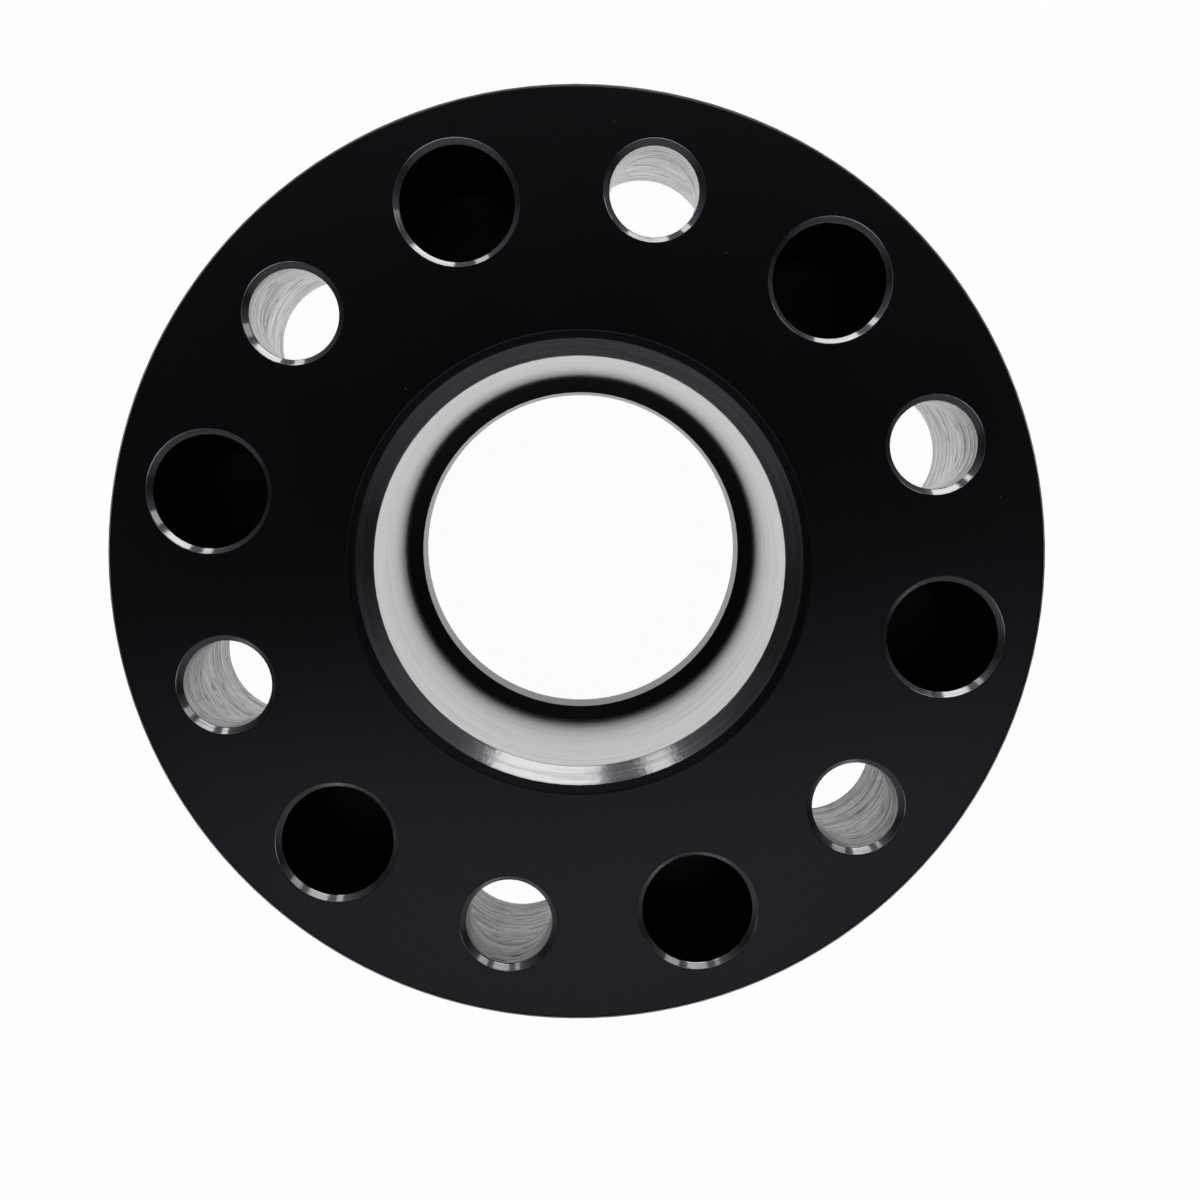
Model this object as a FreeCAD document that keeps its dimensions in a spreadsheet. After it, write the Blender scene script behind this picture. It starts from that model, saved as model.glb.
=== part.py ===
import FreeCAD, Part
import os

import Sketcher

# Bolt-on wheel spacer, standing on the tips of its six studs with the hub side up. The origin is on the
# axis of the bore, in the plane of the tips, and +Z points out of the hub face. Depths are measured
# down from the hub face, along -Z. Lengths are in millimetres, angles in degrees.
SIZES = {
    # plate
    "outer_dia": 175.0,
    "plate_thickness": 50.8,
    "hub_rim_chamfer": 0.6,
    # hub bore and its two-step lead-in
    "hub_bore_dia": 78.1,
    "lead_in_width": 3.0,
    "lead_in_border": 1.3,
    "lead_in_border_depth": 1.5,
    # centring lip and the opening through it
    "lip_dia": 78.1,
    "lip_height": 6.0,
    "lip_shelf_thickness": 8.4,
    "lip_chamfer": 1.0,
    "lip_bore_dia": 71.4,
    # bolt circle shared by the studs and the nut holes
    "bolt_circle_dia": 139.7,
    "bolt_count": 6,
    # holes over the hub's own studs, with a counterbore for each nut
    "nut_hole_dia": 16.5,
    "nut_hole_chamfer": 1.1,
    "nut_hole_land": 12.0,
    "nut_seat_dia": 20.4,
    "nut_seat_half_angle": 30.0,
    "counterbore_dia": 29.0,
    # stud pockets
    "pocket_depth": 36.0,
    "pocket_chamfer": 1.05,
    "stud_head_clearance": 0.7,
    "stud_shank_clearance": 0.3,
    # wheel studs
    "stud_head_dia": 19.6,
    "stud_head_thickness": 5.0,
    "stud_shank_dia": 15.0,
    "stud_shank_reach": 0.5,
    "stud_thread_dia": 14.0,
    "stud_protrusion": 32.0,
}

HUB_FACE_HEIGHT = "Sizes.plate_thickness + Sizes.stud_protrusion"


def make_sheet(doc):
    """Put every driving dimension in one sheet, each under its own alias."""
    sheet = doc.addObject("Spreadsheet::Sheet", "Sizes")
    for row, (alias, size) in enumerate(SIZES.items(), start=1):
        sheet.set("A%d" % row, alias)
        sheet.set("B%d" % row, str(size))
        sheet.setAlias("B%d" % row, alias)
    doc.recompute()
    return sheet


def origin_element(body, role):
    """Find a plane or an axis of the body's own origin by its role."""
    for element in body.Origin.OriginFeatures:
        if element.Role == role:
            return element
    raise ValueError("no %s in the origin of %s" % (role, body.Label))


def new_body(doc, label):
    body = doc.addObject("PartDesign::Body", label)
    body.Label = label
    return body


def axial_sketch(body, name):
    """A sketch in the plane through the axis: x is the distance from the axis and y is the height."""
    sketch = body.newObject("Sketcher::SketchObject", name)
    sketch.AttachmentSupport = [(origin_element(body, "XZ_Plane"), "")]
    sketch.MapMode = "FlatFace"
    body.Document.recompute()
    return sketch


def bind(sketch, constraint, name, expression):
    """Add a driving dimension to the sketch and tie it to the sheet."""
    index = sketch.addConstraint(constraint)
    sketch.renameConstraint(index, name)
    sketch.setExpression("Constraints.%s" % name, expression)


def draw_profile(sketch, vertices, axis_distance="0"):
    """Draw a closed outline through named vertices.

    Each vertex is a radius from the axis of the feature and a depth below the sketch's origin, both as
    expressions. axis_distance is how far that axis stands from the axis of the body.
    """
    def measure(expression):
        return float(sketch.evalExpression(expression))

    names = list(vertices)
    positions = []
    for radius, depth in vertices.values():
        x = measure("%s + %s" % (axis_distance, radius))
        positions.append(FreeCAD.Vector(x, -measure(depth), 0))
    first = sketch.GeometryCount
    for start, end in zip(positions, positions[1:] + positions[:1]):
        sketch.addGeometry(Part.LineSegment(start, end), False)
    for i in range(len(names)):
        after = first + (i + 1) % len(names)
        sketch.addConstraint(Sketcher.Constraint("Coincident", first + i, 2, after, 1))
    for i, name in enumerate(names):
        radius, depth = vertices[name]
        x_expression = "%s + %s" % (axis_distance, radius)
        if measure(x_expression) == 0:
            sketch.addConstraint(Sketcher.Constraint("PointOnObject", first + i, 1, -2))
        else:
            x_dimension = Sketcher.Constraint("DistanceX", -1, 1, first + i, 1, positions[i].x)
            bind(sketch, x_dimension, name + "_x", x_expression)
        if depth == "0":
            sketch.addConstraint(Sketcher.Constraint("PointOnObject", first + i, 1, -1))
        else:
            y_dimension = Sketcher.Constraint("DistanceY", first + i, 1, -1, 1, -positions[i].y)
            bind(sketch, y_dimension, name + "_y", depth)


def turn(body, name, vertices):
    """Turn a closed profile about the axis of the body."""
    sketch = axial_sketch(body, name + "_profile")
    draw_profile(sketch, vertices)
    turned = body.newObject("PartDesign::Revolution", name)
    turned.Profile = sketch
    turned.ReferenceAxis = (sketch, ["V_Axis"])
    turned.Angle = 360
    body.Document.recompute()
    return turned


def bore_ring(body, name, vertices, turn_expression):
    """Cut one turned hole on the bolt circle and repeat it round the axis.

    turn_expression is the angle from the X axis to the first hole.
    """
    sketch = axial_sketch(body, name + "_profile")
    sketch.AttachmentOffset = FreeCAD.Placement(
        FreeCAD.Vector(0, 0, 0), FreeCAD.Rotation(FreeCAD.Vector(0, 1, 0), 1.0))
    sketch.setExpression("AttachmentOffset.Rotation.Angle", turn_expression)
    body.Document.recompute()
    radius = "Sizes.bolt_circle_dia / 2"
    x = float(sketch.evalExpression(radius))
    axis = sketch.addGeometry(
        Part.LineSegment(FreeCAD.Vector(x, 0, 0), FreeCAD.Vector(x, -10, 0)), True)
    sketch.addConstraint(Sketcher.Constraint("Vertical", axis))
    sketch.addConstraint(Sketcher.Constraint("PointOnObject", axis, 1, -1))
    sketch.addConstraint(Sketcher.Constraint("DistanceY", axis, 2, axis, 1, 10))
    bind(sketch, Sketcher.Constraint("DistanceX", -1, 1, axis, 1, x), "axis_x", radius)
    draw_profile(sketch, vertices, radius)
    groove = body.newObject("PartDesign::Groove", name)
    groove.Profile = sketch
    groove.ReferenceAxis = (sketch, ["Axis0"])
    groove.Angle = 360
    body.Document.recompute()
    ring = body.newObject("PartDesign::PolarPattern", name + "s")
    ring.Originals = [groove]
    ring.Axis = (origin_element(body, "Z_Axis"), [""])
    ring.Angle = 360
    ring.setExpression("Occurrences", "Sizes.bolt_count")
    body.Tip = ring
    body.Document.recompute()
    return ring


def make_spacer_body(doc):
    """Plate, hub bore, centring lip, nut holes and stud pockets: one turned and drilled piece."""
    body = new_body(doc, "spacer_body")
    rim = "Sizes.outer_dia / 2"
    bore = "Sizes.hub_bore_dia / 2"
    lip = "Sizes.lip_dia / 2"
    lip_bore = "Sizes.lip_bore_dia / 2"
    wheel_face = "Sizes.plate_thickness"
    lip_end = "Sizes.plate_thickness + Sizes.lip_height"
    bore_floor = lip_end + " - Sizes.lip_shelf_thickness"
    lead_in = bore + " + Sizes.lead_in_width"
    turn(body, "turned_blank", {
        "lead_in_edge": (lead_in + " + Sizes.lead_in_border", "0"),
        "hub_rim": (rim + " - Sizes.hub_rim_chamfer", "0"),
        "rim_top": (rim, "Sizes.hub_rim_chamfer"),
        "wheel_rim": (rim, wheel_face),
        "lip_root": (lip, wheel_face),
        "lip_shoulder": (lip, lip_end + " - Sizes.lip_chamfer"),
        "lip_tip": (lip + " - Sizes.lip_chamfer", lip_end),
        "lip_bore_foot": (lip_bore, lip_end),
        "shoulder_inner": (lip_bore, bore_floor),
        "shoulder_outer": (bore, bore_floor),
        "bore_mouth": (bore, "Sizes.lead_in_border_depth + Sizes.lead_in_width"),
        "lead_in_foot": (lead_in, "Sizes.lead_in_border_depth"),
    })
    hole = "Sizes.nut_hole_dia / 2"
    counterbore = "Sizes.counterbore_dia / 2"
    seat = "Sizes.nut_seat_dia / 2"
    seat_depth = ("Sizes.nut_hole_land + (Sizes.nut_seat_dia - Sizes.nut_hole_dia) / 2"
                  " / tan(Sizes.nut_seat_half_angle)")
    bore_ring(body, "nut_hole", {
        "axis_top": ("0", "0"),
        "chamfer_edge": (hole + " + Sizes.nut_hole_chamfer", "0"),
        "hole_mouth": (hole, "Sizes.nut_hole_chamfer"),
        "seat_top": (hole, "Sizes.nut_hole_land"),
        "seat_foot": (seat, seat_depth),
        "counterbore_floor": (counterbore, seat_depth),
        "counterbore_mouth": (counterbore, wheel_face),
        "axis_foot": ("0", wheel_face),
    }, "180 / Sizes.bolt_count")
    pocket = "Sizes.stud_head_dia / 2 + Sizes.stud_head_clearance"
    shank_hole = "Sizes.stud_shank_dia / 2 + Sizes.stud_shank_clearance"
    bore_ring(body, "stud_pocket", {
        "axis_top": ("0", "0"),
        "chamfer_edge": (pocket + " + Sizes.pocket_chamfer", "0"),
        "pocket_mouth": (pocket, "Sizes.pocket_chamfer"),
        "pocket_floor": (pocket, "Sizes.pocket_depth"),
        "shank_top": (shank_hole, "Sizes.pocket_depth"),
        "shank_foot": (shank_hole, wheel_face),
        "axis_foot": ("0", wheel_face),
    }, "0")
    body.setExpression("Placement.Base.z", HUB_FACE_HEIGHT)
    doc.recompute()
    return body


def make_wheel_stud(doc, number):
    """One press-in stud. Its own origin is the underside of its head, which seats on the pocket floor."""
    stud = new_body(doc, "wheel_stud_%d" % number)
    head = "Sizes.stud_head_dia / 2"
    shank = "Sizes.stud_shank_dia / 2"
    thread = "Sizes.stud_thread_dia / 2"
    wheel_face = "Sizes.plate_thickness - Sizes.pocket_depth"
    shank_end = wheel_face + " + Sizes.stud_shank_reach"
    tip = wheel_face + " + Sizes.stud_protrusion"
    turn(stud, "turned_stud_%d" % number, {
        "head_centre": ("0", "-Sizes.stud_head_thickness"),
        "head_edge": (head, "-Sizes.stud_head_thickness"),
        "head_underside": (head, "0"),
        "shank_top": (shank, "0"),
        "shank_foot": (shank, shank_end),
        "thread_top": (thread, shank_end),
        "tip_edge": (thread, tip),
        "tip_centre": ("0", tip),
    })
    angle = "%d * 360 / Sizes.bolt_count" % (number - 1)
    stud.setExpression("Placement.Base.x", "Sizes.bolt_circle_dia / 2 * cos(%s)" % angle)
    stud.setExpression("Placement.Base.y", "Sizes.bolt_circle_dia / 2 * sin(%s)" % angle)
    stud.setExpression("Placement.Base.z", HUB_FACE_HEIGHT + " - Sizes.pocket_depth")
    doc.recompute()
    return stud


def check_document(doc, bodies):
    """Stop before anything is written if a feature failed, a cut removed nothing or a piece is broken."""
    for item in doc.Objects:
        if "Invalid" in item.State or "Error" in item.State:
            raise RuntimeError("%s did not build" % item.Label)
    for item in doc.Objects:
        if item.isDerivedFrom("PartDesign::Groove") or item.isDerivedFrom("PartDesign::PolarPattern"):
            if item.Shape.Volume >= item.BaseFeature.Shape.Volume:
                raise RuntimeError("%s removed no material" % item.Label)
    for body in bodies:
        if body.Shape.isNull() or not body.Shape.isValid() or len(body.Shape.Solids) != 1:
            raise RuntimeError("%s is not one valid solid" % body.Label)


def main():
    doc = FreeCAD.newDocument("wheel_spacer")
    make_sheet(doc)
    bodies = [make_spacer_body(doc)]
    for number in range(1, SIZES["bolt_count"] + 1):
        bodies.append(make_wheel_stud(doc, number))
    doc.recompute()
    check_document(doc, bodies)
    os.makedirs("parts", exist_ok=True)
    for body in bodies:
        body.Shape.exportStep("parts/%s.step" % body.Label)
        print("%s: %.0f mm3" % (body.Label, body.Shape.Volume))


main()
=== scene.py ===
from math import cos, hypot, pi, radians, sin

import bmesh
import bpy
from mathutils import Euler, Matrix, Vector

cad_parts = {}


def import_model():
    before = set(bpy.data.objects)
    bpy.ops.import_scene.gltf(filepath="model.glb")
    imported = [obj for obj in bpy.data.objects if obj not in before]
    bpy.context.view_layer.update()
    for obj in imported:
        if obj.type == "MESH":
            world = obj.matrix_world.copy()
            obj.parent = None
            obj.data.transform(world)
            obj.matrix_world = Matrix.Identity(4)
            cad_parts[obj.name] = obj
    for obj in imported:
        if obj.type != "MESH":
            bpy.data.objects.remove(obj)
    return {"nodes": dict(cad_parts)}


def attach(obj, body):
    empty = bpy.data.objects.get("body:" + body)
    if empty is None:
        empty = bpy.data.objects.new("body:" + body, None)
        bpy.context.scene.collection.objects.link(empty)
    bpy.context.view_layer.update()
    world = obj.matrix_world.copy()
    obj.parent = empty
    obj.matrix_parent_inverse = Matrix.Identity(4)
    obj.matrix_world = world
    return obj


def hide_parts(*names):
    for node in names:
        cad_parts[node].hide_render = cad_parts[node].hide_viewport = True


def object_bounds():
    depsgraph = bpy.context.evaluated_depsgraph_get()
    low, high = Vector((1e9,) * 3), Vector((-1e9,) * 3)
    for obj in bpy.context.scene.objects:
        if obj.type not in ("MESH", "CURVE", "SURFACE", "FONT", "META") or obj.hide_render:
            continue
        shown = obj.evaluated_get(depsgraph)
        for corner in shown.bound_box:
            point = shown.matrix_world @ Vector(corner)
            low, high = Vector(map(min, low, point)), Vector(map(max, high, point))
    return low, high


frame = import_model()
cad_low, cad_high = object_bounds()

MM = 0.001

# the part's own measures, in metres, as the CAD source has them
BOLT_CIRCLE_R = 69.85 * MM
BOLT_COUNT = 6
HUB_BORE_R = 39.05 * MM
LEAD_IN_R = 42.05 * MM  # of the bare chamfer, and the black border lies outside it
BORDER_WIDTH = 1.3 * MM
BORDER_DEPTH = 1.5 * MM
NUT_HOLE_R = 8.25 * MM
COUNTERBORE_R = 14.5 * MM
POCKET_R = 10.5 * MM
POCKET_CHAMFER = 1.05 * MM
NUT_CHAMFER = 1.1 * MM
HUB_FACE = cad_high.z
LEAD_IN_TOP = HUB_FACE - BORDER_DEPTH  # where the border ends and the chamfer begins
BORE_FLOOR = HUB_FACE - 48.4 * MM
WHEEL_FACE = 32.0 * MM

# the stud's, with the heights measured from its tip
STUD_HEAD_R = 9.8 * MM
STUD_SHANK_R = 7.5 * MM
THREAD_R = 7.0 * MM
THREAD_ROOT_R = 6.12 * MM
THREAD_PITCH = 1.5 * MM
POINT_LENGTH = 1.6 * MM
THREAD_TOP = 31.5 * MM
HEAD_UNDERSIDE = 46.8 * MM
HEAD_TOP = 51.8 * MM

# how the copied solids are finished
SAME_POINT = 0.002 * MM
EDGE_BREAK = 0.2 * MM
SHARP = radians(25)
NEAR = 0.1 * MM  # added to a radius so that faces on it count as inside

# ---------------------------------------------------------------- materials


def new_material(name):
    """A material with a Principled surface, and its Object coordinates."""
    mat = bpy.data.materials.new(name)
    mat.use_nodes = True
    nodes, links = mat.node_tree.nodes, mat.node_tree.links
    nodes.clear()
    out = nodes.new("ShaderNodeOutputMaterial")
    shader = nodes.new("ShaderNodeBsdfPrincipled")
    links.new(shader.outputs["BSDF"], out.inputs["Surface"])
    coords = nodes.new("ShaderNodeTexCoord")
    return mat, nodes, links, shader, coords.outputs["Object"]


def noise(nodes, links, coords, stretch, scale, detail=2.0, rough=0.5):
    """A noise value on Object coordinates, stretched along each axis."""
    mapping = nodes.new("ShaderNodeMapping")
    mapping.inputs["Scale"].default_value = stretch
    links.new(coords, mapping.inputs["Vector"])
    tex = nodes.new("ShaderNodeTexNoise")
    tex.inputs["Scale"].default_value = scale
    tex.inputs["Detail"].default_value = detail
    tex.inputs["Roughness"].default_value = rough
    links.new(mapping.outputs["Vector"], tex.inputs["Vector"])
    return tex.outputs["Fac"]


def ramp(nodes, links, value, stops):
    """Turn a value into a colour or grey through a ramp of (position, colour) stops."""
    node = nodes.new("ShaderNodeValToRGB")
    elements = node.color_ramp.elements
    while len(elements) < len(stops):
        elements.new(0.5)
    for element, (position, colour) in zip(elements, stops):
        element.position = position
        if not hasattr(colour, "__len__"):
            colour = (colour, colour, colour)
        element.color = (*colour, 1.0)
    links.new(value, node.inputs["Fac"])
    return node.outputs["Color"]


def bump(nodes, links, shader, height, strength, distance, under=None):
    """Put a relief on the shader, over an earlier one where that is given."""
    node = nodes.new("ShaderNodeBump")
    node.inputs["Strength"].default_value = strength
    node.inputs["Distance"].default_value = distance
    links.new(height, node.inputs["Height"])
    if under is not None:
        links.new(under, node.inputs["Normal"])
    links.new(node.outputs["Normal"], shader.inputs["Normal"])
    return node.outputs["Normal"]


def lifted_normal(nodes, links, lift):
    """The surface normal leaned towards +Z, as on an edge that a countersink or a scraper has eased."""
    geometry = nodes.new("ShaderNodeNewGeometry")
    add = nodes.new("ShaderNodeVectorMath")
    add.inputs[1].default_value = (0, 0, lift)
    unit = nodes.new("ShaderNodeVectorMath")
    unit.operation = "NORMALIZE"
    links.new(geometry.outputs["Normal"], add.inputs[0])
    links.new(add.outputs["Vector"], unit.inputs[0])
    return unit.outputs["Vector"]


def black_anodise(name, lift=0.0):
    """Satin black anodised aluminium with faint clouding, a fine mottle and grain, and rare pale nicks."""
    mat, nodes, links, shader, coords = new_material(name)
    shader.inputs["Metallic"].default_value = 0.0
    shader.inputs["IOR"].default_value = 1.5
    shader.inputs["Specular IOR Level"].default_value = 0.55
    shader.inputs["Specular Tint"].default_value = (0.93, 0.95, 1.0, 1)
    cloud = noise(nodes, links, coords, (1, 1, 1), 45.0, 3.0)
    dye = ramp(nodes, links, cloud, [(0.3, (0.0007, 0.0008, 0.0014)), (0.75, (0.0014, 0.0015, 0.0024))])
    nicks = nodes.new("ShaderNodeTexVoronoi")
    nicks.inputs["Scale"].default_value = 120.0
    links.new(coords, nicks.inputs["Vector"])
    mix = nodes.new("ShaderNodeMixRGB")
    mix.inputs["Color2"].default_value = (0.05, 0.05, 0.055, 1)
    nicked = ramp(nodes, links, nicks.outputs["Distance"], [(0.012, 1.0), (0.020, 0.0)])
    links.new(nicked, mix.inputs["Fac"])
    links.new(dye, mix.inputs["Color1"])
    links.new(mix.outputs["Color"], shader.inputs["Base Color"])
    mottle = noise(nodes, links, coords, (1, 1, 1), 1300.0, 5.0, 0.7)
    links.new(ramp(nodes, links, mottle, [(0.3, 0.235), (0.7, 0.285)]), shader.inputs["Roughness"])
    grain = noise(nodes, links, coords, (1, 1, 1), 4200.0, 1.0)
    bump(nodes, links, shader, grain, 0.25, 0.00003, lifted_normal(nodes, links, lift) if lift else None)
    return mat


def bare_metal(name, colour, rough, along, across,
               streak=0.85, speck=0.0, mark_depth=0.1, chatter=0.0, lift=0.0):
    """Aluminium turned or bored after the anodising, with the tool's marks running round the axis.

    along and across are how fine the marks are down the axis and round it, per metre. streak is how
    light the darker marks stay, speck how dark the short dashes between them are, and chatter how deep
    the marks are that lie across the others. lift leans the normal towards +Z.
    """
    mat, nodes, links, shader, coords = new_material(name)
    shader.inputs["Metallic"].default_value = 1.0
    broad = noise(nodes, links, coords, (across, across, along), 1.0, 6.0, 0.68)
    fine = noise(nodes, links, coords, (across, across, along * 4), 1.0, 3.0, 0.6)
    dark = tuple(c * streak for c in colour)
    tone = ramp(nodes, links, broad, [(0.38, dark), (0.54, colour)])
    if speck:
        dashes = noise(nodes, links, coords, (across * 6, across * 6, along * 2.2), 1.0, 2.0, 0.5)
        mask = ramp(nodes, links, dashes, [(0.34, 1 - speck), (0.41, 1.0)])
        mix = nodes.new("ShaderNodeMixRGB")
        mix.blend_type = "MULTIPLY"
        mix.inputs["Fac"].default_value = 1.0
        links.new(tone, mix.inputs["Color1"])
        links.new(mask, mix.inputs["Color2"])
        tone = mix.outputs["Color"]
    links.new(tone, shader.inputs["Base Color"])
    gloss = ramp(nodes, links, fine, [(0.3, rough - 0.05), (0.7, rough + 0.06)])
    links.new(gloss, shader.inputs["Roughness"])
    under = lifted_normal(nodes, links, lift) if lift else None
    under = bump(nodes, links, shader, broad, mark_depth, 0.00004, under)
    under = bump(nodes, links, shader, fine, mark_depth, 0.00002, under)
    if chatter:
        marks = noise(nodes, links, coords, (900, 900, 60), 1.0, 2.0, 0.5)
        bump(nodes, links, shader, marks, chatter, 0.00003, under)
    return mat


def black_oxide():
    """Blackened steel of the studs, a little lighter and browner where it is handled."""
    mat, nodes, links, shader, coords = new_material("black_oxide_steel")
    shader.inputs["Metallic"].default_value = 0.0
    patch = noise(nodes, links, coords, (1, 1, 1), 160.0, 4.0, 0.6)
    tone = ramp(nodes, links, patch, [(0.35, (0.0020, 0.0020, 0.0024)), (0.7, (0.0060, 0.0058, 0.0058))])
    links.new(tone, shader.inputs["Base Color"])
    grain = noise(nodes, links, coords, (1, 1, 1), 2600.0, 2.0)
    links.new(ramp(nodes, links, grain, [(0.3, 0.38), (0.7, 0.52)]), shader.inputs["Roughness"])
    bump(nodes, links, shader, grain, 0.3, 0.00004)
    return mat


ANODISED = black_anodise("black_anodise")
BLACK_LEAD_IN = black_anodise("black_anodise_lead_in", lift=0.8)
TURNED = bare_metal("bare_turned_bore", (0.75, 0.755, 0.76), 0.335, 900.0, 22.0,
                    streak=0.82, mark_depth=0.16)
# the lip's wall, deep in the bore, gets a far darker metal tone than the turned bore: painted shade
LIP_WALL_PAINTED_SHADE = bare_metal("bare_lip_bore_painted_shade", (0.225, 0.225, 0.228), 0.34, 900.0, 26.0)
DRILLED = bare_metal("bare_bored_holes", (0.57, 0.57, 0.575), 0.27, 1900.0, 48.0,
                     streak=0.10, speck=0.9, mark_depth=0.4)
CHAMFERED = bare_metal("bare_lead_in", (0.72, 0.72, 0.725), 0.14, 1500.0, 40.0,
                       streak=0.74, mark_depth=0.35, chatter=0.5)
COUNTERSUNK = bare_metal("bare_countersinks", (0.72, 0.72, 0.725), 0.09, 2400.0, 50.0,
                         streak=0.7, mark_depth=0.3, chatter=0.15, lift=0.215)
OXIDE = black_oxide()
BODY_FINISHES = [ANODISED, TURNED, DRILLED, CHAMFERED, LIP_WALL_PAINTED_SHADE, COUNTERSUNK, BLACK_LEAD_IN]

# ---------------------------------------------------------------- spacer body

STUD_ANGLES = [2 * pi * k / BOLT_COUNT for k in range(BOLT_COUNT)]
NUT_ANGLES = [a + pi / BOLT_COUNT for a in STUD_ANGLES]


def nearest_axis(x, y, angles):
    """How far a place is from the nearest of the hole axes at these angles."""
    return min(hypot(x - BOLT_CIRCLE_R * cos(a), y - BOLT_CIRCLE_R * sin(a)) for a in angles)


def body_finish(centre, normal):
    """The finish of a face of the body, by where it is and how it faces."""
    x, y, z = centre
    r = hypot(x, y)
    slant = 0.2 < normal.z < 0.95
    upright = abs(normal.z) < 0.2
    if r < HUB_BORE_R + 0.5 * MM:
        if upright and normal.dot(Vector((x, y, 0))) < 0:
            return TURNED if z > BORE_FLOOR else LIP_WALL_PAINTED_SHADE
        return CHAMFERED if slant and z > BORE_FLOOR + 5 * MM else ANODISED
    if r < LEAD_IN_R + BORDER_WIDTH and slant:
        return CHAMFERED if z < LEAD_IN_TOP else BLACK_LEAD_IN
    to_nut = nearest_axis(x, y, NUT_ANGLES)
    if to_nut < COUNTERBORE_R + NEAR and WHEEL_FACE + 0.5 * MM < z < HUB_FACE - NUT_CHAMFER:
        return DRILLED
    if slant and z > HUB_FACE - 3 * MM:
        to_stud = nearest_axis(x, y, STUD_ANGLES)
        if to_nut < NUT_HOLE_R + NUT_CHAMFER + NEAR or to_stud < POCKET_R + POCKET_CHAMFER + NEAR:
            return COUNTERSUNK
    return ANODISED


def mesh_object(name, bm, materials):
    """An object in the scene made from bm, which is freed."""
    mesh = bpy.data.meshes.new(name)
    bm.to_mesh(mesh)
    bm.free()
    for mat in materials:
        mesh.materials.append(mat)
    obj = bpy.data.objects.new(name, mesh)
    bpy.context.scene.collection.objects.link(obj)
    return obj


def shade_smooth(bm, sharpest):
    """Smooth shading, broken at edges that turn by more than sharpest."""
    for face in bm.faces:
        face.smooth = True
    for edge in bm.edges:
        edge.smooth = not (len(edge.link_faces) == 2 and edge.calc_face_angle(0) > sharpest)


def merged_body():
    """A merged copy of the CAD body, with its flat faces joined, its finishes set and its edges broken."""
    bm = bmesh.new()
    bm.from_mesh(frame["nodes"]["spacer_body"].data)
    bmesh.ops.remove_doubles(bm, verts=bm.verts, dist=SAME_POINT)
    bmesh.ops.dissolve_limit(bm, angle_limit=radians(0.4), verts=bm.verts, edges=bm.edges)
    bm.normal_update()
    for face in bm.faces:
        finish = body_finish(face.calc_center_median(), face.normal)
        face.material_index = BODY_FINISHES.index(finish)
    shade_smooth(bm, SHARP)
    obj = mesh_object("spacer_body_finished", bm, BODY_FINISHES)
    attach(obj, "root")
    broken = obj.modifiers.new("broken_edges", "BEVEL")
    broken.limit_method = "ANGLE"
    broken.angle_limit = SHARP
    broken.width = EDGE_BREAK
    broken.segments = 2
    broken.harden_normals = True
    broken.use_clamp_overlap = True
    broken.loop_slide = False
    return obj


body = merged_body()
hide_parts("spacer_body")

# ---------------------------------------------------------------- studs

CREST_ROUND = 0.02 * MM
TIP_INSET = 0.9 * MM  # how far inside the thread's root the point's end is
POINT_SLOPE = (THREAD_R - THREAD_ROOT_R + TIP_INSET) / POINT_LENGTH


def spin_profile(bm, points, steps, rise=0.0):
    """Turn a chain of (radius, height) points about the Z axis, climbing by rise in the turn."""
    verts = [bm.verts.new((r, 0, z)) for r, z in points]
    edges = [bm.edges.new(pair) for pair in zip(verts, verts[1:])]
    bmesh.ops.spin(bm, geom=verts + edges, cent=(0, 0, 0), axis=(0, 0, 1), dvec=(0, 0, rise / steps),
                   angle=2 * pi, steps=steps, use_merge=(rise == 0), use_duplicate=False)


def thread_chain():
    """The thread's outline on one side, long enough at both ends to be cut to length."""
    shape = [(0.0, THREAD_ROOT_R), (0.12, THREAD_ROOT_R), (0.45, THREAD_R - CREST_ROUND),
             (0.50, THREAD_R), (0.58, THREAD_R), (0.63, THREAD_R - CREST_ROUND)]
    turns = int(THREAD_TOP / THREAD_PITCH) + 4
    chain = []
    for k in range(turns):
        for part, r in shape:
            chain.append((r, (k - 2 + part) * THREAD_PITCH))
    chain.append((THREAD_ROOT_R, (turns - 2) * THREAD_PITCH))
    return chain


def cut_level(bm, z, keep_above):
    """Cut the open tube at a level and close it with a flat face."""
    geom = bm.verts[:] + bm.edges[:] + bm.faces[:]
    cut = bmesh.ops.bisect_plane(bm, geom=geom, dist=1e-7, plane_co=(0, 0, z), plane_no=(0, 0, 1),
                                 clear_inner=keep_above, clear_outer=not keep_above)
    edges = [g for g in cut["geom_cut"] if isinstance(g, bmesh.types.BMEdge)]
    bmesh.ops.edgeloop_fill(bm, edges=edges)


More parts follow.
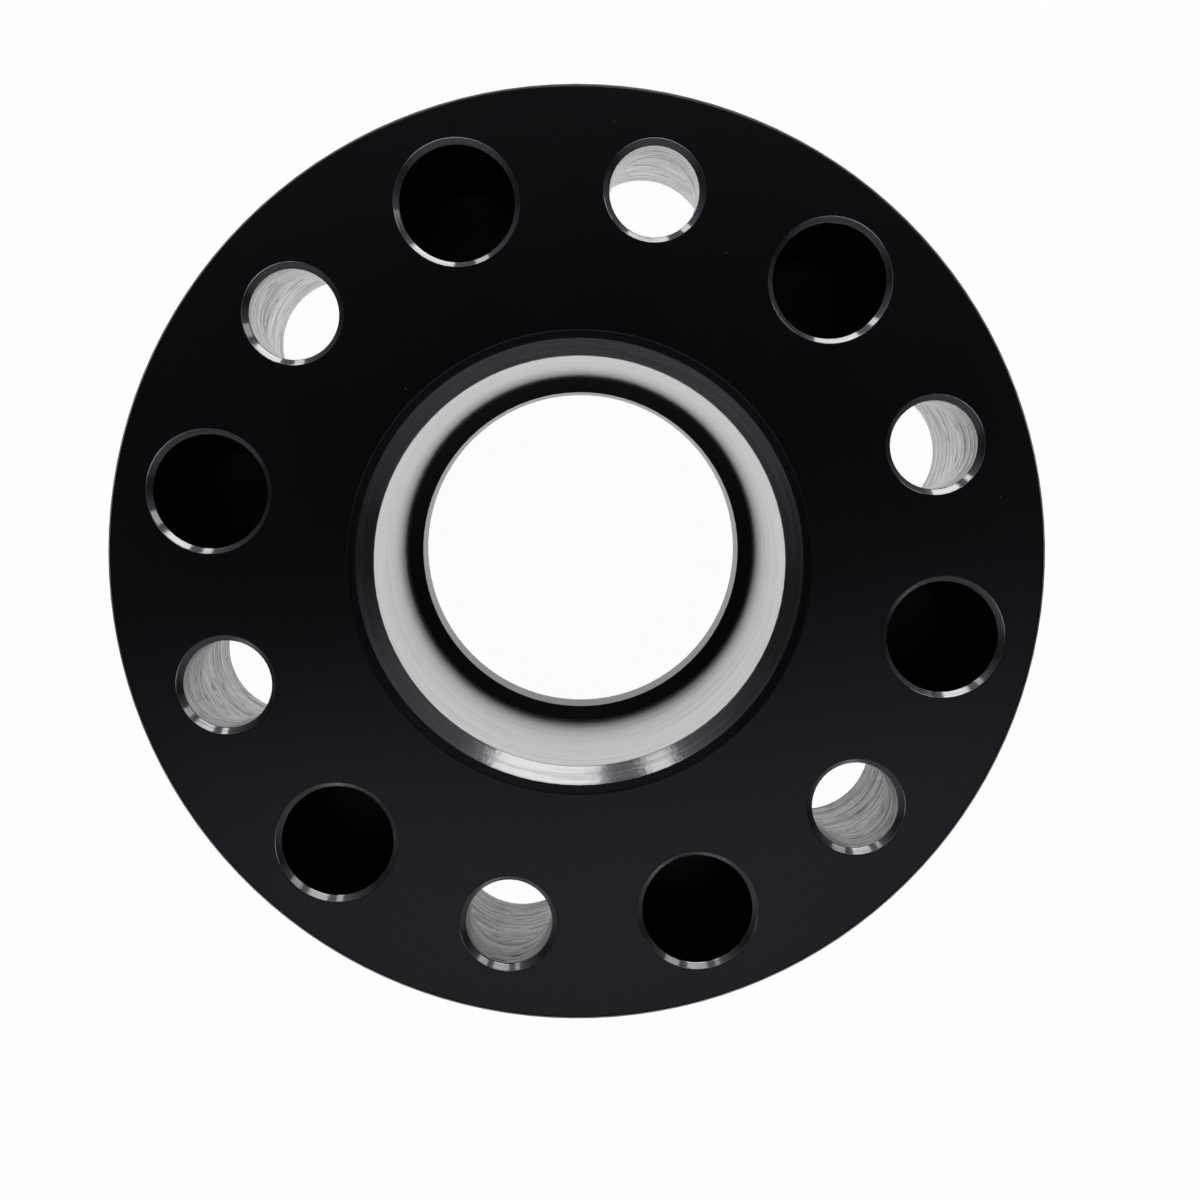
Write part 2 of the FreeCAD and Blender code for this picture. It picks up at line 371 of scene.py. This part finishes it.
def stud_mesh():
    """One press-in stud standing on its tip on the Z axis: pointed thread, shank and domed head."""
    bm = bmesh.new()
    spin_profile(bm, thread_chain(), 40, THREAD_PITCH)
    bmesh.ops.remove_doubles(bm, verts=bm.verts, dist=0.004 * MM)
    cut_level(bm, 0.0, True)
    cut_level(bm, THREAD_TOP + 0.6 * MM, False)
    for vert in bm.verts:
        limit = THREAD_ROOT_R - TIP_INSET + vert.co.z * POINT_SLOPE
        r = hypot(vert.co.x, vert.co.y)
        if r > limit > 0:
            vert.co.x *= limit / r
            vert.co.y *= limit / r
    shank = [(0, THREAD_TOP), (STUD_SHANK_R - 0.5 * MM, THREAD_TOP), (STUD_SHANK_R, THREAD_TOP + 0.3 * MM),
             (STUD_SHANK_R, HEAD_UNDERSIDE)]
    head = [(STUD_HEAD_R - 0.3 * MM, HEAD_UNDERSIDE), (STUD_HEAD_R, HEAD_UNDERSIDE + 0.3 * MM),
            (STUD_HEAD_R, HEAD_TOP - 1.0 * MM), (STUD_HEAD_R - 0.3 * MM, HEAD_TOP - 0.45 * MM),
            (STUD_HEAD_R - 1.2 * MM, HEAD_TOP - 0.1 * MM), (STUD_HEAD_R - 3.0 * MM, HEAD_TOP),
            (0, HEAD_TOP)]
    spin_profile(bm, shank + head, 64)
    bmesh.ops.remove_doubles(bm, verts=bm.verts, dist=SAME_POINT)
    bmesh.ops.recalc_face_normals(bm, faces=bm.faces)
    shade_smooth(bm, radians(30))
    return bm


stud_blank = stud_mesh()
for k, angle in enumerate(STUD_ANGLES, start=1):
    bm = stud_blank.copy()
    place = Matrix.Translation((BOLT_CIRCLE_R * cos(angle), BOLT_CIRCLE_R * sin(angle), 0))
    turn = Matrix.Rotation(angle + 2.1 * k, 4, "Z")  # no two threads end at the same side
    bmesh.ops.transform(bm, matrix=place @ turn, verts=bm.verts)
    stud = mesh_object("wheel_stud_%d_threaded" % k, bm, [OXIDE])
    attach(stud, "root")
    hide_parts("wheel_stud_%d" % k)
stud_blank.free()

# ---------------------------------------------------------------- camera

# fitted to the rims of the plate, bore, lip, pockets and holes in the photograph
camera_data = bpy.data.cameras.new("camera")
camera_data.sensor_width = 36.0
camera_data.lens = 35.171
camera_data.shift_x = -0.00468
camera_data.shift_y = -0.0228
camera_data.clip_start = 0.01
camera_data.dof.use_dof = False
camera = bpy.data.objects.new("camera", camera_data)
camera.location = (-2.171 * MM, 14.714 * MM, 300.789 * MM)
camera.rotation_euler = Euler((radians(-4.2637), radians(-1.0491), radians(11.3172)), "XYZ")
bpy.context.scene.collection.objects.link(camera)
bpy.context.scene.camera = camera

# ---------------------------------------------------------------- floor, world and lamps

PICTURE_TURN = radians(11.239)  # from +X to the picture's right
FLOOR_KEEP = 0.03  # the share of the floor's own shading, and so of the shadow, that still shows
# painted shadow: how bright the floor is where the bare metal mirrors it, from the picture's bottom to its
# top: the light comes from past the top, so the floor under the plate's lower half is painted dimmer
FLOOR_PAINTED_SHADOW_IN_GLOSS = [(0.30, 1.0), (0.41, 0.50), (0.45, 0.52), (0.475, 0.70), (0.50, 0.88), (0.525, 0.95),
                  (0.55, 1.0)]
# the dim cards: a round tent of this radius, from just over the floor to its top
TENT_R, TENT_FOOT, TENT_TOP = 0.50, 0.001, 0.80
# how bright its wall is, by the degrees from the picture's right towards its top
TENT_WALL = [(-180, 0.015), (-165, 0.026), (-150, 0.043), (-130, 0.054), (-90, 0.052), (-60, 0.052),
             (-45, 0.045), (-25, 0.03), (-18, 0.016), (-3, 0.013), (2, 0.021), (12, 0.028), (20, 0.045),
             (30, 0.05), (55, 0.06), (60, 0.12), (98, 0.11), (118, 0.09), (126, 0.075), (132, 0.055),
             (140, 0.04), (150, 0.03), (160, 0.016), (180, 0.015)]
# how bright its ceiling is from the picture's bottom to its top, and what is added from the middle outwards
TENT_CEILING = [(0.0, 0.42), (0.24, 0.42), (0.33, 0.24), (0.39, 0.04), (0.43, 0.008), (0.60, 0.012),
                (0.75, 0.06), (1.0, 0.14)]
TENT_CEILING_OUTWARD = [(0.45, 0.0), (0.75, 0.05), (1.0, 0.08)]
CEILING_LEAN = 0.10  # radians
CARD_TINT = (0.94, 0.97, 1.12)


def from_picture(right, up, height):
    """A place given along the picture's right and up, in metres, and above the floor."""
    spot = Matrix.Rotation(PICTURE_TURN, 3, "Z") @ Vector((right, up, 0))
    return Vector((spot.x, spot.y, height))


def picture_place(nodes, links, lean=0.0):
    """Object coordinates turned to the picture's right and up, and by lean, in radians, beyond them."""
    coords = nodes.new("ShaderNodeTexCoord")
    turn = nodes.new("ShaderNodeMapping")
    turn.inputs["Rotation"].default_value = (0, 0, -PICTURE_TURN - lean)
    links.new(coords.outputs["Object"], turn.inputs["Vector"])
    return turn.outputs["Vector"]


def up_share(nodes, links, vector):
    """0 to 1 across the tent from the picture's bottom to its top."""
    split = nodes.new("ShaderNodeSeparateXYZ")
    links.new(vector, split.inputs["Vector"])
    spread = nodes.new("ShaderNodeMapRange")
    spread.inputs["From Min"].default_value = -TENT_R
    spread.inputs["From Max"].default_value = TENT_R
    links.new(split.outputs["Y"], spread.inputs["Value"])
    return spread.outputs["Result"]


def looked_at(nodes, links):
    """1 where the camera, a gloss or a clear piece looks at the surface, 0 where it only lights others."""
    path = nodes.new("ShaderNodeLightPath")
    seen = nodes.new("ShaderNodeMath")
    seen.operation = "MAXIMUM"
    links.new(path.outputs["Is Camera Ray"], seen.inputs[0])
    links.new(path.outputs["Is Glossy Ray"], seen.inputs[1])
    seen_too = nodes.new("ShaderNodeMath")
    seen_too.operation = "MAXIMUM"
    links.new(seen.outputs[0], seen_too.inputs[0])
    links.new(path.outputs["Is Transmission Ray"], seen_too.inputs[1])
    return seen_too.outputs[0]


def floor():
    """A wide pale floor, white to the camera, which keeps a little of the object's shadow, and where the
    metal mirrors it shows a painted shadow, dimmer under the plate's lower half.
    """
    mat = bpy.data.materials.new("floor_white")
    mat.use_nodes = True
    nodes, links = mat.node_tree.nodes, mat.node_tree.links
    nodes.clear()
    out = nodes.new("ShaderNodeOutputMaterial")
    paper = nodes.new("ShaderNodeBsdfDiffuse")
    paper.inputs["Color"].default_value = (0.86, 0.86, 0.86, 1)
    glow = nodes.new("ShaderNodeEmission")
    glow.inputs["Strength"].default_value = 1.0
    tone = nodes.new("ShaderNodeMixRGB")
    tone.inputs["Color2"].default_value = (1, 1, 1, 1)
    links.new(nodes.new("ShaderNodeLightPath").outputs["Is Camera Ray"], tone.inputs["Fac"])
    # in gloss the glow follows the painted shadow ramp, dimmer towards the picture's bottom
    links.new(ramp(nodes, links, up_share(nodes, links, picture_place(nodes, links)), FLOOR_PAINTED_SHADOW_IN_GLOSS),
              tone.inputs["Color1"])
    links.new(tone.outputs["Color"], glow.inputs["Color"])
    share = nodes.new("ShaderNodeMath")
    share.operation = "MULTIPLY"
    share.inputs[1].default_value = 1.0 - FLOOR_KEEP
    links.new(looked_at(nodes, links), share.inputs[0])
    mix = nodes.new("ShaderNodeMixShader")
    links.new(share.outputs[0], mix.inputs["Fac"])
    links.new(paper.outputs["BSDF"], mix.inputs[1])
    links.new(glow.outputs["Emission"], mix.inputs[2])
    links.new(mix.outputs["Shader"], out.inputs["Surface"])
    bm = bmesh.new()
    bmesh.ops.create_circle(bm, cap_ends=True, segments=64, radius=6.0)
    mesh_object("floor", bm, [mat])


def world():
    """A plain pale studio, white where it is looked at."""
    studio = bpy.data.worlds.new("studio")
    bpy.context.scene.world = studio
    studio.use_nodes = True
    nodes, links = studio.node_tree.nodes, studio.node_tree.links
    back = nodes["Background"]
    back.inputs["Color"].default_value = (0.78, 0.78, 0.78, 1)
    back.inputs["Strength"].default_value = 1.0
    white = nodes.new("ShaderNodeBackground")
    white.inputs["Color"].default_value = (1, 1, 1, 1)
    white.inputs["Strength"].default_value = 1.0
    mix = nodes.new("ShaderNodeMixShader")
    links.new(looked_at(nodes, links), mix.inputs["Fac"])
    links.new(back.outputs["Background"], mix.inputs[1])
    links.new(white.outputs["Background"], mix.inputs[2])
    links.new(mix.outputs["Shader"], nodes["World Output"].inputs["Surface"])


def tinted(levels):
    """Ramp stops in the cards' own cool tone, from (position, brightness) pairs."""
    return [(at, tuple(tint * level for tint in CARD_TINT)) for at, level in levels]


def card_material(name, value_node, stops, outward_stops=None, lean=0.0):
    """An emission that follows a ramp along value_node's value, with a second one added outwards."""
    mat = bpy.data.materials.new(name)
    mat.use_nodes = True
    nodes, links = mat.node_tree.nodes, mat.node_tree.links
    nodes.clear()
    out = nodes.new("ShaderNodeOutputMaterial")
    glow = nodes.new("ShaderNodeEmission")
    place = picture_place(nodes, links, lean)
    colour = ramp(nodes, links, value_node(nodes, links, place), tinted(stops))
    if outward_stops:
        flat = nodes.new("ShaderNodeVectorMath")
        flat.operation = "MULTIPLY"
        flat.inputs[1].default_value = (1 / TENT_R, 1 / TENT_R, 0)
        length = nodes.new("ShaderNodeVectorMath")
        length.operation = "LENGTH"
        links.new(place, flat.inputs[0])
        links.new(flat.outputs["Vector"], length.inputs[0])
        both = nodes.new("ShaderNodeMixRGB")
        both.blend_type = "ADD"
        both.inputs["Fac"].default_value = 1.0
        links.new(colour, both.inputs["Color1"])
        links.new(ramp(nodes, links, length.outputs["Value"], tinted(outward_stops)), both.inputs["Color2"])
        colour = both.outputs["Color"]
    links.new(colour, glow.inputs["Color"])
    links.new(glow.outputs["Emission"], out.inputs["Surface"])
    return mat


def turn_share(nodes, links, vector):
    """0 to 1 once round, from the picture's left through its bottom, right and top."""
    gradient = nodes.new("ShaderNodeTexGradient")
    gradient.gradient_type = "RADIAL"
    links.new(vector, gradient.inputs["Vector"])
    return gradient.outputs["Fac"]


def dark_tent():
    """Dim cards round and over the object, seen only in its gloss, as a photographer sets them."""
    round_stops = [((azimuth + 180) / 360, level) for azimuth, level in TENT_WALL]
    walls = card_material("card_walls", turn_share, round_stops)
    ceiling = card_material("card_ceiling", up_share, TENT_CEILING, TENT_CEILING_OUTWARD, CEILING_LEAN)
    bm = bmesh.new()
    bmesh.ops.create_cone(bm, cap_ends=True, segments=64, radius1=TENT_R, radius2=TENT_R,
                          depth=TENT_TOP - TENT_FOOT)
    bmesh.ops.translate(bm, verts=bm.verts, vec=(0, 0, (TENT_TOP + TENT_FOOT) / 2))
    bmesh.ops.delete(bm, geom=[f for f in bm.faces if f.normal.z < -0.5], context="FACES_ONLY")
    for face in bm.faces:
        face.material_index = 1 if face.normal.z > 0.5 else 0
    obj = mesh_object("dark_tent", bm, [walls, ceiling])
    obj.visible_camera = obj.visible_diffuse = obj.visible_shadow = False
    obj.visible_transmission = obj.visible_volume_scatter = False


def lamp(name, right, up, height, width, tall, radiance):
    """A soft upright lamp of an even brightness, facing the part's axis and unseen by the camera."""
    data = bpy.data.lights.new(name, "AREA")
    data.shape = "RECTANGLE"
    data.size, data.size_y = width, tall
    data.energy = radiance * pi * width * tall
    obj = bpy.data.objects.new(name, data)
    obj.location = from_picture(right, up, height)
    obj.rotation_euler = (obj.location - Vector((0, 0, height))).to_track_quat("Z", "Y").to_euler()
    obj.visible_camera = False
    bpy.context.scene.collection.objects.link(obj)


floor()
world()
dark_tent()
# the window-like panel past the picture's top edge, its divider, and the thin strip beside it
lamp("panel_low", 0.083, 0.473, 0.23, 0.312, 0.340, 0.95)
lamp("panel_high", 0.083, 0.473, 0.48, 0.312, 0.160, 0.50)
lamp("strip_low", -0.191, 0.440, 0.23, 0.070, 0.340, 0.80)
lamp("strip_high", -0.191, 0.440, 0.48, 0.070, 0.160, 0.35)
lamp("side_panel", 0.362, 0.315, 0.415, 0.170, 0.290, 0.38)

bpy.context.scene.view_settings.view_transform = "Standard"
